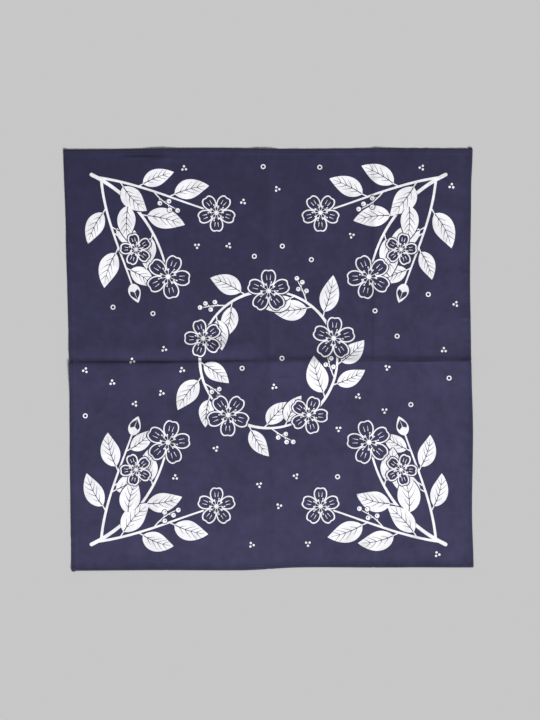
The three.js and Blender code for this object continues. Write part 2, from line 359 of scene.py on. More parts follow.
class Outline:
    """The outer edge of the finished cloth."""

    def __init__(self, width, length):
        self.width = width
        self.length = length

    def across(self, x):
        return np.clip(x / self.width + 0.5, 0, 1)

    def up(self, y):
        return np.clip(y / self.length + 0.5, 0, 1)

    def top(self, x):
        share = self.across(x)
        return self.length / 2 + mixed(TOP_LEFT[1], TOP_RIGHT[1], share) + strayed(TOP_WANDER, share)

    def bottom(self, x):
        share = self.across(x)
        level = mixed(BOTTOM_LEFT[1], BOTTOM_RIGHT[1], share)
        return -self.length / 2 + level - strayed(BOTTOM_WANDER, share)

    def left(self, y):
        share = self.up(y)
        return -self.width / 2 - mixed(BOTTOM_LEFT[0], TOP_LEFT[0], share) - strayed(LEFT_WANDER, share)

    def right(self, y):
        share = self.up(y)
        return self.width / 2 + mixed(BOTTOM_RIGHT[0], TOP_RIGHT[0], share) + strayed(RIGHT_WANDER, share)

    def edges(self, x, y):
        """How far inside each edge a point lies: the left, right, top and bottom one."""
        return x - self.left(y), self.right(y) - x, self.top(x) - y, y - self.bottom(x)

    def inward(self, x, y):
        """How far inside the nearest edge a point lies."""
        return np.minimum.reduce(self.edges(x, y))

    def place(self, side, share, inward, reach=(0, 0)):
        """The point at a share of a side's length and a distance inward. reach lengthens the two ends."""
        x = np.zeros(np.broadcast(share, inward).shape)
        y = x
        # Each of the two depends on the other, and both settle in a few turns
        for _ in range(5):
            if side in UPRIGHT_HEMS:
                x = self.left(y) + inward if side == "left" else self.right(y) - inward
                y = mixed(self.bottom(x) - reach[0], self.top(x) + reach[1], share)
            else:
                y = self.bottom(x) + inward if side == "bottom" else self.top(x) - inward
                x = mixed(self.left(y) - reach[0], self.right(y) + reach[1], share)
        return x, y


LATTICE = 256


def unevenness(x, y, pitch, seed):
    """Smooth unevenness between -1 and 1, with bumps about pitch across."""
    lattice = np.random.default_rng(seed).uniform(-1, 1, (LATTICE, LATTICE))
    column = np.asarray(x) / pitch + LATTICE / 2
    row = np.asarray(y) / pitch + LATTICE / 2
    left = np.floor(column).astype(int)
    below = np.floor(row).astype(int)
    across, up = (share**3 * (share * (share * 6 - 15) + 10) for share in (column - left, row - below))

    def level(line):
        line = line % LATTICE
        return mixed(lattice[line, left % LATTICE], lattice[line, (left + 1) % LATTICE], across)

    return mixed(level(below), level(below + 1), up)


def ripples(run, pitch, seed):
    """The same unevenness along a line."""
    return unevenness(run, 0 * run, pitch, seed)


def through(points, off):
    """A smooth curve through a section's points."""
    places, heights = np.array(points, float).T * MM
    slopes = np.gradient(heights, places)
    slopes[[0, -1]] = 0
    before = np.clip(np.searchsorted(places, off) - 1, 0, len(places) - 2)
    width = places[before + 1] - places[before]
    share = np.clip((off - places[before]) / width, 0, 1)
    rest = 1 - share
    level = heights[before] * (1 + 2 * share) * rest**2 + heights[before + 1] * (3 - 2 * share) * share**2
    return level + width * share * rest * (slopes[before] * rest - slopes[before + 1] * share)


def fold_height(along, sections, seed, x, y):
    """How high a fold holds the cloth. Its shape passes from each section to the next."""
    run, aside = (x, y) if along == "x" else (y, x)
    places = np.array([section.run for section in sections]) * MM
    at = np.interp(run, places, [section.at * MM for section in sections])
    off = aside - at - FOLD_STRAY * ripples(run, FOLD_STRAY_PITCH, seed)
    height = 0
    for number, section in enumerate(sections):
        share = np.ones_like(run)
        if number > 0:
            share = share * eased(run, places[number - 1], places[number])
        if number + 1 < len(sections):
            share = share * (1 - eased(run, places[number], places[number + 1]))
        height = height + share * through(section.points, off)
    return height * (1 + FOLD_VARIES * ripples(run, 2 * FOLD_STRAY_PITCH, 30 + seed))


def wrinkle_height(wrinkle, x, y):
    """How high one of the shorter wrinkles stands."""
    start, end, height, spread = wrinkle
    start = np.array(start) * MM
    run = np.array(end) * MM - start
    length = np.hypot(*run)
    share = ((x - start[0]) * run[0] + (y - start[1]) * run[1]) / length**2
    off = ((x - start[0]) * run[1] - (y - start[1]) * run[0]) / length
    taper = np.sin(np.pi * np.clip(share, 0, 1)) ** 2
    profile = np.cos(np.pi / 2 * np.clip(off / (spread * MM), -1, 1)) ** 2
    return height * MM * taper * profile


def swell_height(x, y):
    """How high the low swells stand, where they leave the table."""
    height = -SWELL_REST
    for peak, wave_x, wave_y, phase in SWELLS:
        height = height + peak * MM * np.sin(2 * np.pi * (x / wave_x + y / wave_y) / MM + phase)
    return np.where(height > 0, height**2 / (np.abs(height) + TOUCH_SOFTNESS), 0)


def crumple_height(x, y):
    """Soft unevenness from washing and handling, longer in one direction than the other."""
    height = 0
    for seed, turn, pitch, stretch, share in CRUMPLE:
        along = x * math.cos(turn) + y * math.sin(turn)
        aside = y * math.cos(turn) - x * math.sin(turn)
        height = height + share * unevenness(along / stretch, aside, pitch * MM, seed)
    return height


def pucker_height(outline, x, y):
    """Ripples that the seam draws into the cloth. They die away inwards."""
    height = 0
    left, right, top, bottom = outline.edges(x, y)
    for inward, run, seed in ((left, y, 11), (right, y, 12), (top, x, 13), (bottom, x, 14)):
        inside = np.clip(inward, 0, None)
        lean = run + 0.5 * inside * ripples(run, PUCKER_LEAN_PITCH, seed + 20)
        ripple = ripples(lean, PUCKER_PITCH, seed) + 0.8 * ripples(lean, BROAD_PUCKER_PITCH, seed + 40)
        patch = 0.35 + 0.65 * np.clip(0.4 + ripples(run, PUCKER_PATCH_PITCH, seed + 60), 0, 1)
        height = height + ripple * patch * np.exp(-(((inside - PUCKER_PLACE) / PUCKER_REACH) ** 2))
    return height


def rise(sizes, outline, x, y):
    """How far the underside of the laid cloth stands off the table."""
    height = swell_height(x, y)
    free = eased(outline.inward(x, y), *LET_GO)
    for along, sections, seed in FOLDS:
        held = 1.0 if along == "x" else HELD_DOWN
        height = height + fold_height(along, sections, seed, x, y) * mixed(held, 1, free)
    for wrinkle in WRINKLES:
        height = height + wrinkle_height(wrinkle, x, y)
    height = height + sizes.crumple * (RIPPLE_REST + crumple_height(x, y))
    height = height + 0.5 * sizes.pucker * (RIPPLE_REST + pucker_height(outline, x, y))
    return np.maximum(height, 0)


def direction(angle):
    return np.array([math.cos(angle), math.sin(angle)])


class Line:
    """A drawn line that sets off at a heading and turns evenly, or ever more sharply, as it goes."""

    def __init__(self, start, heading, length, turn=0.0, curl=0.0, steps=16):
        share = np.linspace(0, 1, steps + 1)
        self.angles = heading + turn * share + curl * share**2
        middle = (self.angles[1:] + self.angles[:-1]) / 2
        pace = np.stack([np.cos(middle), np.sin(middle)], 1) * length / steps
        self.points = np.vstack([start, np.asarray(start) + np.cumsum(pace, 0)])

    def at(self, share):
        place = share * (len(self.points) - 1)
        known = np.arange(len(self.points))
        point = np.array([np.interp(place, known, self.points[:, axis]) for axis in (0, 1)])
        return point, float(np.interp(place, known, self.angles))

    def sides(self, widths):
        """The line's two sides, each half of widths away from it, as one outline."""
        across = np.stack([-np.sin(self.angles), np.cos(self.angles)], 1)
        reach = np.asarray(widths)[:, None] / 2 * across
        return np.vstack([self.points + reach, (self.points - reach)[::-1]])


class Artwork:
    """Outlines in the order they are laid down. Each one either prints or leaves the cloth bare."""

    def __init__(self):
        self.outlines = []
        self.prints = []

    def lay(self, outline, prints=True):
        self.outlines.append(np.asarray(outline))
        self.prints.append(prints)

    def stroke(self, line, thick, thin, prints=True):
        self.lay(line.sides(np.linspace(thick, thin, len(line.points))), prints)


def disc(centre, radius, points=18):
    angle = np.linspace(0, 2 * math.pi, points, endpoint=False)
    return np.asarray(centre) + radius * np.stack([np.cos(angle), np.sin(angle)], 1)


LEAF_VEINS = 4


def draw_leaf(art, base, heading, length, breadth, turn, bare=1.5 * MM):
    """A smooth pointed leaf, with its midrib and side veins left bare."""
    rib = Line(base, heading, length, turn, steps=14)
    share = np.linspace(0, 1, len(rib.points))
    widths = length * breadth * np.sin(math.pi * share**0.78) ** 0.92
    halo = Line(base, heading, length, turn, steps=9)
    share_out = np.linspace(0, 1, len(halo.points))
    around = np.interp(share_out, share, widths) + 2 * bare * np.minimum(share_out / 0.2, 1)
    art.lay(halo.sides(around), False)
    art.lay(rib.sides(widths))
    midrib = Line(*rib.at(0.03), 0.86 * length, 0.86 * turn, steps=8)
    art.stroke(midrib, 1.25 * MM, 0.4 * MM, False)
    for place in np.linspace(0.16, 0.66, LEAF_VEINS):
        point, angle = rib.at(place)
        half = np.interp(place, share, widths) / 2
        for side in (-1, 1):
            vein = Line(point, angle + side * 0.75, 1.12 * half, -side * 0.3, steps=4)
            art.stroke(vein, 0.85 * MM, 0.3 * MM, False)


PETALS = 5


def petal(centre, heading, radius, shrink=0.0):
    angle = np.linspace(-math.pi, math.pi, 26, endpoint=False)
    notch = 1 - 0.17 * np.exp(-((angle / 0.3) ** 2))
    taper = 1 - 0.16 * np.exp(-(((np.abs(angle) - math.pi) / 0.9) ** 2))
    along = (0.44 * radius - shrink) * np.cos(angle) * notch * taper
    across = (0.4 * radius - shrink) * np.sin(angle) * (0.86 + 0.14 * np.cos(angle))
    turn = np.array([direction(heading), direction(heading + math.pi / 2)])
    return np.asarray(centre) + 0.58 * radius * direction(heading) + np.stack([along, across], 1) @ turn


def draw_blossom(art, centre, radius, heading, line=1.8 * MM, bare=1.4 * MM):
    """An open blossom of five notched petals, drawn in outline, with a tuft of stamens."""
    centre = np.asarray(centre)
    headings = [heading + 2 * math.pi * n / PETALS for n in range(PETALS)]
    for angle in headings:
        art.lay(petal(centre, angle, radius, -bare), False)
    for angle in headings:
        art.lay(petal(centre, angle, radius))
        art.lay(petal(centre, angle, radius, line), False)
        for side in (-0.2, 0.2):
            start = centre + 0.5 * radius * direction(angle + side * 0.7)
            art.stroke(Line(start, angle + side * 0.6, 0.24 * radius, steps=3), 0.9 * MM, 0.3 * MM)
    art.lay(disc(centre, 0.27 * radius), False)
    for n in range(2 * PETALS):
        angle = heading + math.pi * (n + 0.5) / PETALS
        reach = 0.42 if n % 2 else 0.34
        start = centre + 0.1 * radius * direction(angle)
        art.stroke(Line(start, angle, (reach - 0.1) * radius, steps=2), 0.6 * MM, 0.6 * MM)
        art.lay(disc(centre + reach * radius * direction(angle), 0.95 * MM, points=8))
    art.lay(disc(centre, 0.11 * radius, points=12))


def end_in_blossom(art, line, beyond, radius):
    """A blossom whose middle lies a little beyond the end of a line."""
    heading = line.angles[-1]
    draw_blossom(art, line.points[-1] + beyond * direction(heading), radius, heading)


def draw_bud(art, base, heading, length, line=1.4 * MM, bare=1.2 * MM):
    """A closed bud in outline, on a solid cup."""
    rib = Line(base, heading, length, steps=10)
    share = np.linspace(0, 1, len(rib.points))
    widths = 0.62 * length * np.sin(math.pi * share**0.7) ** 0.8
    art.lay(rib.sides(widths + 2 * bare), False)
    art.lay(rib.sides(widths))
    inner = Line(rib.at(0.2)[0], heading, 0.66 * length, steps=10)
    hollow = np.maximum(widths - 2 * line, 0.3 * MM) * np.sin(math.pi * np.clip(share, 0.08, 0.92)) ** 0.2
    art.lay(inner.sides(hollow), False)
    art.stroke(Line(rib.at(0.35)[0], heading, 0.4 * length, steps=3), 0.9 * MM, 0.3 * MM)
    cup = Line(base, heading, 0.42 * length, steps=6)
    art.lay(cup.sides(0.5 * length * np.sin(math.pi * np.linspace(0.12, 0.96, 7))))


BERRIES = 4


def draw_berries(art, line, lean, length, turn, size):
    """A twig from the middle of a line, with round berries on short stalks to both its sides."""
    point, angle = line.at(0.5)
    twig = Line(point, angle + lean, length, turn, steps=8)
    art.stroke(twig, 1.6 * MM, 1.1 * MM)
    for n in range(BERRIES):
        point, angle = twig.at(0.35 + 0.65 * n / (BERRIES - 1))
        side = 1 if n % 2 else -1
        aside = 0 if n == BERRIES - 1 else side * 0.9
        stalk = Line(point, angle + aside, size * 2.2, -side * 0.3, steps=3)
        art.stroke(stalk, 0.9 * MM, 0.8 * MM)
        end = stalk.points[-1]
        art.lay(disc(end, size + 1.0 * MM, points=14), False)
        art.lay(disc(end, size, points=14))
        art.lay(disc(end + 0.3 * size * direction(angle), 0.28 * size, points=8), False)


def draw_leaves(art, line, dice, places, size, spread=0.85, taper=0.25):
    """Leaves along a stem, each at a share of its length and to one side."""
    for share, side in places:
        point, angle = line.at(share)
        length = size * (1 - taper * share) * dice.uniform(0.88, 1.1)
        lean = angle + side * spread * dice.uniform(0.85, 1.15)
        stalk = Line(point, angle + side * spread * 0.9, 0.16 * length, steps=2)
        art.stroke(stalk, 1.6 * MM, 1.3 * MM)
        breadth = dice.uniform(0.5, 0.58)
        draw_leaf(art, stalk.points[-1], lean, length, breadth, -side * dice.uniform(0.25, 0.55))


WREATH_PARTS = 5


def draw_wreath(art, radius, dice):
    """A ring of blossoms, joined by arcs of leaves and berries."""
    sector = 2 * math.pi / WREATH_PARTS
    for n in range(WREATH_PARTS):
        start = math.pi / 2 + n * sector + 0.12
        span = sector - 0.16
        line = Line(radius * direction(start), start + math.pi / 2, radius * span, span, steps=18)
        outer = 1 if n % 2 else -1
        art.stroke(line, 3.8 * MM, 2.2 * MM)
        leaves = ((0.2, outer), (0.4, -outer), (0.68, -outer))
        draw_leaves(art, line, dice, leaves, 47 * MM, spread=0.95)
        draw_berries(art, line, outer * 0.75, 27 * MM, -outer * 0.3, 2.9 * MM)
    for n in range(WREATH_PARTS):
        angle = math.pi / 2 + n * sector
        size = (25 if n % 2 else 28) * MM
        draw_blossom(art, radius * direction(angle), size, angle + 0.3 * n)


def draw_spray(art, corner, dice):
    """Three stems that spread from a corner of the cloth, with leaves, blossoms, a bud and berries."""
    sign = np.sign(corner)
    inward = math.atan2(-sign[1], -sign[0])
    hand = sign[0] * sign[1]
    root = corner - sign * 31 * MM
    main = Line(root, inward - 0.34 * hand, 158 * MM, 0.9 * hand, steps=20)
    low = Line(main.at(0.05)[0], inward - 0.66 * hand, 150 * MM, 0.6 * hand, -0.42 * hand, steps=18)
    high = Line(main.at(0.09)[0], inward + 0.7 * hand, 140 * MM, -0.7 * hand, 0.45 * hand, steps=18)
    art.stroke(low, 3.4 * MM, 2.0 * MM)
    art.stroke(high, 3.4 * MM, 2.0 * MM)
    art.stroke(main, 4.8 * MM, 2.3 * MM)
    art.lay(disc(root, 2.4 * MM, points=14))
    draw_leaves(art, low, dice, ((0.2, hand), (0.36, -hand), (0.64, -hand)), 52 * MM)
    draw_leaves(art, high, dice, ((0.26, hand), (0.44, -hand), (0.64, hand), (0.84, -hand)), 52 * MM)
    draw_leaves(art, main, dice, ((0.36, hand), (0.52, -hand), (0.7, hand)), 55 * MM)
    end_in_blossom(art, low, 10 * MM, 25 * MM)
    draw_bud(art, high.points[-1], high.angles[-1], 25 * MM)
    side, angle = high.at(0.5)
    branch = Line(side, angle - 0.75 * hand, 27 * MM, 0.2 * hand, steps=6)
    art.stroke(branch, 1.8 * MM, 1.3 * MM)
    end_in_blossom(art, branch, 9 * MM, 21 * MM)
    draw_berries(art, low, 0.62 * hand, 33 * MM, -0.5 * hand, 3.0 * MM)
    end_in_blossom(art, main, 12 * MM, 29 * MM)


def scatter_marks(art, half, dice, count, clear):
    """Small rings and clusters of three dots, in the places that are still empty."""
    taken = np.vstack(art.outlines)
    places = []
    while len(places) < count:
        point = np.array([dice.uniform(-1, 1), dice.uniform(-1, 1)]) * (half - 18 * MM)
        if np.min(np.hypot(*(taken - point).T)) < clear:
            continue
        if any(np.hypot(*(other - point)) < 2.6 * clear for other in places):
            continue
        places.append(point)
    for n, point in enumerate(places):
        if n % 3 == 0:
            art.lay(disc(point, 3.2 * MM, points=16))
            art.lay(disc(point, 1.8 * MM, points=12), False)
            continue
        lean = dice.uniform(0, 2 * math.pi)
        for turn in range(3):
            spot = point + 2.6 * MM * direction(lean + turn * 2 * math.pi / 3)
            art.lay(disc(spot, 1.5 * MM, points=12))


def floral_print(half):
    """The whole print: a wreath, a spray in each corner, and small marks between them."""
    dice = random.Random(11)
    art = Artwork()
    draw_wreath(art, 88 * MM, dice)
    for corner in ((-1, 1), (1, 1), (1, -1), (-1, -1)):
        draw_spray(art, np.array(corner) * half, dice)
    scatter_marks(art, half, dice, 46, 13 * MM)
    return art


def new_object(name, data):
    item = bpy.data.objects.new(name, data)
    bpy.context.collection.objects.link(item)
    return item


def cloth_object(name, points, faces):
    """A new piece that rides on the one body."""
    mesh = bpy.data.meshes.new(name)
    mesh.from_pydata(np.asarray(points).tolist(), [], faces)
    mesh.update()
    piece = new_object(name, mesh)
    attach(piece, "root")
    return piece


def work_on(piece):
    """Makes a piece the only one that the operators act on."""
    bpy.ops.object.select_all(action="DESELECT")
    piece.select_set(True)
    bpy.context.view_layer.objects.active = piece


def spaced(start, end, step):
    """Evenly spaced numbers, about a step apart."""
    count = max(int(round((end - start) / step)), 1)
    return np.linspace(start, end, count + 1)


# How far to each side of a fold the mesh has its closer lines: at an upright fold, at the middle one, and
# where a fold crosses a hem
FOLD_STEPS = np.array((0, 0.5, 1.1, 1.9, 3.0, 4.4, 6.4, 9.2)) * MM
MIDDLE_STEPS = np.array((0, 0.5, 1.1, 1.8, 2.6, 3.5, 4.6, 6.0, 7.8, 10.2)) * MM
HEM_STEPS = np.array((0, 0.4, 0.9, 1.5, 2.2, 3.1, 4.3)) * MM


def with_fold(lines, fold, steps=FOLD_STEPS):
    """Lines made closer beside a fold."""
    beside = np.concatenate([fold - steps[:0:-1], fold + steps])
    clear = 0.4 * (lines[len(lines) // 2 + 1] - lines[len(lines) // 2])
    apart = np.abs(lines - fold) > steps[-1] + clear
    return np.sort(np.concatenate([lines[apart], beside]))


class Plan:
    """The flat drawing that the panel is cut from: points, the lines between them, and closed outlines."""

    def __init__(self):
        self.points = []
        self.lines = []
        self.outlines = []
        self.count = 0

    def add_points(self, points):
        first = self.count
        self.points.append(np.asarray(points, float))
        self.count += len(points)
        return range(first, self.count)

    def add_line(self, points):
        ids = self.add_points(points)
        self.lines.extend(zip(ids, ids[1:]))

    def add_outline(self, points):
        """Outlines run anticlockwise, so one that runs the other way is turned round."""
        x, y = np.asarray(points).T
        area = np.sum(x * np.roll(y, -1) - y * np.roll(x, -1))
        self.outlines.append(list(self.add_points(points if area > 0 else points[::-1])))

    def cut(self):
        """Triangles with the last outline that covers each. Those that none covers are left out."""
        flat = [Vector(point) for point in np.vstack(self.points).tolist()]
        found = delaunay_2d_cdt(flat, self.lines, self.outlines, 1, MERGED, True)
        points = np.array([tuple(point) for point in found[0]])
        pieces = [(face, max(ids)) for face, ids in zip(found[2], found[5]) if ids]
        faces, covered = zip(*pieces)
        return points, faces, covered


def rim_ring(outline, inward, step):
    """Points all round the cloth, anticlockwise, at a distance inward from its edge."""
    corners = []
    for side, turned in (("bottom", False), ("right", False), ("top", True), ("left", True)):
        share = spaced(0, 1, step / (outline.length if side in UPRIGHT_HEMS else outline.width))
        inset = np.full_like(share, inward)
        x, y = outline.place(side, share, inset, (-inward, -inward))
        points = np.stack([x, y], 1)
        corners.append((points[::-1] if turned else points)[:-1])
    return np.vstack(corners)


# The points of the panel's mesh: the pitch of the open grid and of the middle fold's lines, and the rings
# inside the rim, at these distances in millimetres. Points closer than MERGED are one
GRID = 6.2 * MM
MIDDLE_PITCH = 3.5 * MM
RIM_RINGS = (0, 0.3, 0.8, 1.7, 3.0, 5.0, 7.6)
RING_PITCH = 3.4 * MM
MERGED = 0.002 * MM

# A wrinkle narrower than this, in millimetres, has points of its own, at these shares of its spread
NARROW = 8
WRINKLE_PITCH = 3 * MM
WRINKLE_SHARES = (-1, -0.7, -0.4, -0.1, 0.15, 0.4, 0.7, 1)

# How far the grid keeps from the drawn edges of the print, and where beside each fold, in millimetres, the
# mesh has lines, so that those edges bend as the cloth does
CLEAR_OF_PRINT = 1.1 * MM
PRINTED_LINES = (0, -1.1, 1.1, -3.0, 3.0, -6.4, 6.4)


def far_from(points, others, distance):
    """Which points keep a distance from all the others, judged by cells of that size."""

    def keys(cells):
        return cells[:, 0] * 1_000_003 + cells[:, 1]

    cells = np.floor(others / distance).astype(np.int64)
    taken = np.concatenate([keys(cells + (dx, dy)) for dx in (-1, 0, 1) for dy in (-1, 0, 1)])
    return ~np.isin(keys(np.floor(points / distance).astype(np.int64)), taken)


def beside_wrinkle(wrinkle):
    """Points close enough together to show a narrow wrinkle."""
    start, end, _, spread = wrinkle
    start = np.array(start) * MM
    along = np.array(end) * MM - start
    share = spaced(0, 1, WRINKLE_PITCH / np.hypot(*along))
    across = np.array([-along[1], along[0]]) / np.hypot(*along)
    off = np.array(WRINKLE_SHARES) * spread * MM
    return (start + share[:, None, None] * along + off[:, None] * across).reshape(-1, 2)


def panel_plan(outline, art):
    """Where the panel's mesh has its points and lines. The print's outlines come last, in their order."""
    plan = Plan()
    rings = [rim_ring(outline, PANEL_RIM + step * MM, RING_PITCH) for step in RIM_RINGS]
    plan.add_outline(rings[0])
    plan.add_points(np.vstack(rings[1:]))
    last_ring = PANEL_RIM + RIM_RINGS[-1] * MM

    half_width = outline.width / 2
    half_length = outline.length / 2
    columns = spaced(-half_width - 5 * MM, half_width + 5 * MM, GRID)
    for fold in UPRIGHT_FOLDS:
        columns = with_fold(columns, fold)
    rows = with_fold(spaced(-half_length, half_length, GRID), MIDDLE_FOLD, MIDDLE_STEPS)
    grid = np.stack(np.meshgrid(columns, rows), -1).reshape(-1, 2)
    grid = grid[outline.inward(*grid.T) > last_ring + 1.5 * MM]
    drawn = np.vstack(art.outlines)
    grid = grid[far_from(grid, drawn, CLEAR_OF_PRINT)]
    plan.add_points(grid)
    creased = np.vstack([beside_wrinkle(wrinkle) for wrinkle in WRINKLES if wrinkle[3] < NARROW])
    creased = creased[outline.inward(*creased.T) > PANEL_RIM + 0.6 * MM]
    plan.add_points(creased[far_from(creased, np.vstack([drawn, grid, *rings]), 0.5 * MM)])

    inside = last_ring + 2 * MM
    across = spaced(outline.left(MIDDLE_FOLD) + inside, outline.right(MIDDLE_FOLD) - inside, MIDDLE_PITCH)
    for step in PRINTED_LINES:
        plan.add_line(np.stack([across, np.full_like(across, MIDDLE_FOLD + step * MM)], 1))
        for fold in UPRIGHT_FOLDS:
            up = spaced(outline.bottom(fold) + inside, outline.top(fold) - inside, GRID)
            plan.add_line(np.stack([np.full_like(up, fold + step * MM), up], 1))
    for drawing in art.outlines:
        plan.add_outline(drawing)
    return plan


# Where the panel's two faces and its rim lie in its picture map, as (first, last) shares of its height
FACE_STRIP = (0.0, 0.70)
REVERSE_STRIP = (0.71, 0.96)
RIM_STRIPS = (0.965, 0.974, 0.983, 0.992)
RIM_STRIP_HEIGHT = 0.006
MAP_MARGIN = 20 * MM


def read(items, name, width=1, kind=float):
    """What each of a mesh's points, corners or faces holds, as one number or a row of them."""
    values = np.zeros(len(items) * width, kind)
    items.foreach_get(name, values)
    return values.reshape(-1, width) if width > 1 else values


def lay_out_panel(mesh, outline):
    """A picture map that gives most of its room to the printed face."""
    corners = read(mesh.loops, "vertex_index", kind=int)
    totals = read(mesh.polygons, "loop_total", kind=int)
    normal = np.repeat(read(mesh.polygons, "normal", 3), totals, 0)
    centre = np.repeat(read(mesh.polygons, "center", 3), totals, 0)
    x, y, z = read(mesh.vertices, "co", 3)[corners].T
    u = 0.5 + x / (outline.width + MAP_MARGIN)
    v = 0.5 + y / (outline.length + MAP_MARGIN)
    face = normal[:, 2] > 0.3
    reverse = normal[:, 2] < -0.3
    rim = ~(face | reverse)
    upright = rim & (np.abs(normal[:, 0]) > np.abs(normal[:, 1]))
    level = rim & ~upright
    high = np.where(z > centre[:, 2], RIM_STRIP_HEIGHT, 0)
    strip = np.where(upright, (centre[:, 0] > 0) * 1, 2 + (centre[:, 1] > 0))
    u = np.where(upright, v, u)
    v = np.where(face, mixed(*FACE_STRIP, v), v)
    v = np.where(reverse, mixed(*REVERSE_STRIP, v), v)
    v = np.where(upright | level, np.array(RIM_STRIPS)[strip] + high, v)
    layer = mesh.uv_layers.new(name="OFBake")
    layer.data.foreach_set("uv", np.stack([u, v], 1).ravel())


def make_band(name, sections, node):
    """A closed band lofted through sections, each a ring of points."""
    stations, count = sections.shape[:2]
    points = sections.reshape(-1, 3)
    faces = []
    for station in range(stations - 1):
        for corner in range(count):
            here = station * count + corner
            beside = station * count + (corner + 1) % count
            faces.append((here, beside, beside + count, here + count))
    faces.append(tuple(range(count)))
    faces.append(tuple(range(len(points) - count, len(points))))
    band = cloth_object(name, points, faces)
    work_on(band)
    bpy.ops.object.mode_set(mode="EDIT")
    bpy.ops.mesh.select_all(action="SELECT")
    bpy.ops.mesh.normals_make_consistent(inside=False)
    bpy.ops.object.mode_set(mode="OBJECT")
    bpy.ops.object.shade_smooth_by_angle(angle=math.radians(50))
    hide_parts(node)
    return band


END_STEPS = np.array((0, 0.12, 0.4, 0.85, 1.5, 2.4, 3.6, 5.0, 6.4, 8.0)) * MM
HEM_PITCH = 1.8 * MM
SEAM_PITCH = 0.7 * MM


class Hem:
    """One of the four hems. A point of it is given by how far along, inward and up it lies."""

    def __init__(self, sizes, outline, side):
        self.sizes = sizes
        self.outline = outline
        self.side = side
        self.upright = side in UPRIGHT_HEMS
        self.run = (outline.length if self.upright else outline.width) + sum(HEMS[side])
        self.creases = (MIDDLE_FOLD,) if self.upright else UPRIGHT_FOLDS

    def flat(self, along, inward):
        """Where a point lies as seen from above."""
        return self.outline.place(self.side, along / self.run, inward, HEMS[self.side])

    def pinched(self, x, y, inward):
        """How far the folds that cross the hem have drawn in its outer edge."""
        run = y if self.upright else x
        depth = PINCHES[self.side] * np.clip(1 - inward / SEAM, 0, 1)
        return depth * sum(np.exp(-(((run - crease) / PINCH_REACH) ** 2)) for crease in self.creases)

    def points(self, along, inward, up):
        x, y = self.flat(along, inward)
        x, y = self.flat(along, inward + self.pinched(x, y, inward))
        if self.upright:
            to_end = np.minimum(along, self.run - along)
            folded = 1 - eased(to_end, 0.6 * CORNER_LENGTH, CORNER_LENGTH)
            up = up * (1 + CORNER_STEP / HEM_HEIGHT * folded)
        return np.stack([x, y, rise(self.sizes, self.outline, x, y) + up], -1)

    def stations(self):
        """Distances along the hem, closest together at its ends and where a fold crosses it."""
        middle = spaced(END_STEPS[-1], self.run - END_STEPS[-1], HEM_PITCH)
        stations = np.concatenate([END_STEPS[:-1], middle, self.run - END_STEPS[-2::-1]])
        ends = self.flat(np.array((0.0, self.run)), np.array((SEAM, SEAM)))
        start, end = ends[1] if self.upright else ends[0]
        for crease in self.creases:
            stations = with_fold(stations, self.run * (crease - start) / (end - start), HEM_STEPS)
        return stations

    def sections(self):
        """Every ring of points that the hem is lofted through."""
        along = self.stations()[:, None]
        inward, up = np.array(HEM_SECTION).T[:, None, :] * MM
        end = np.clip(1 - np.minimum(along, self.run - along) / END_ROUND, 0, BLUNT_END)
        rounding = np.sqrt(1 - end**2)
        inward = HEM_HEEL - (HEM_HEEL - inward) * mixed(END_BREADTH, 1, rounding)
        up = up * mixed(END_HEIGHT, 1, rounding)
        return self.points(np.broadcast_to(along, inward.shape), inward, up)

    def seam(self, up):
        """The line that the stitches follow."""
        along = spaced(0, self.run, SEAM_PITCH)
        return self.points(along, np.full_like(along, SEAM), np.full_like(along, up))


def in_order(points, faces):
    """A mesh with its points and faces sorted, because a primitive's own order changes from run to run."""
    order = sorted(range(len(points)), key=lambda number: tuple(points[number].round(7)))
    numbers = {old: new for new, old in enumerate(order)}
    return points[order], sorted(tuple(numbers[corner] for corner in face) for face in faces)


def one_stitch(length, width):
    """One stitch of thread along X, which dips into the cloth at both ends."""
    bpy.ops.object.select_all(action="DESELECT")
    bpy.ops.mesh.primitive_uv_sphere_add(segments=6, ring_count=6, radius=0.5, rotation=(0, math.pi / 2, 0))
    stitch = bpy.context.object
    bpy.ops.object.transform_apply(location=False, rotation=True, scale=False)
    bpy.ops.object.mode_set(mode="EDIT")
    bpy.ops.mesh.select_all(action="SELECT")
    bpy.ops.transform.resize(value=(length, width, 0.8 * width))
    bpy.ops.object.mode_set(mode="OBJECT")
    for vertex in stitch.data.vertices:
        vertex.co.z -= 0.5 * width * (2 * vertex.co.x / length) ** 2
    mesh = stitch.data
    points = np.array([tuple(vertex.co) for vertex in mesh.vertices])
    faces = [tuple(face.vertices) for face in mesh.polygons]
    bpy.data.objects.remove(stitch)
    bpy.data.meshes.remove(mesh)
    return in_order(points, faces)


def stitches_along(line, stitch, pitch, face_up, dice):
    """Copies of a stitch along a line of points, one after another."""
    shape, faces = stitch
    steps = np.linalg.norm(np.diff(line, axis=0), axis=1)
    run = np.concatenate([[0], np.cumsum(steps)])
    middles = np.arange(0.5 * pitch + UNSTITCHED_END, run[-1] - UNSTITCHED_END, pitch)
    points = []
    joined = []
    for number, place in enumerate(middles):
        ends = [
            np.array([np.interp(place + step, run, line[:, axis]) for axis in range(3)])
            for step in (-0.45 * pitch, 0.45 * pitch)
        ]
        along = (ends[1] - ends[0]) / np.linalg.norm(ends[1] - ends[0])
        up = np.array([0, 0, 1.0 if face_up else -1.0])
        side = np.cross(up, along)
        side /= np.linalg.norm(side)
        lean = dice.uniform(-0.06, 0.06)
        run_along = along + lean * side
        size = dice.uniform(0.95, 1.04)
        placed = shape @ np.array([run_along * size, side, np.cross(run_along, side)])
        points.append(placed + (ends[0] + ends[1]) / 2)
        joined.extend(tuple(number * len(shape) + corner for corner in face) for face in faces)
    return np.vstack(points), joined


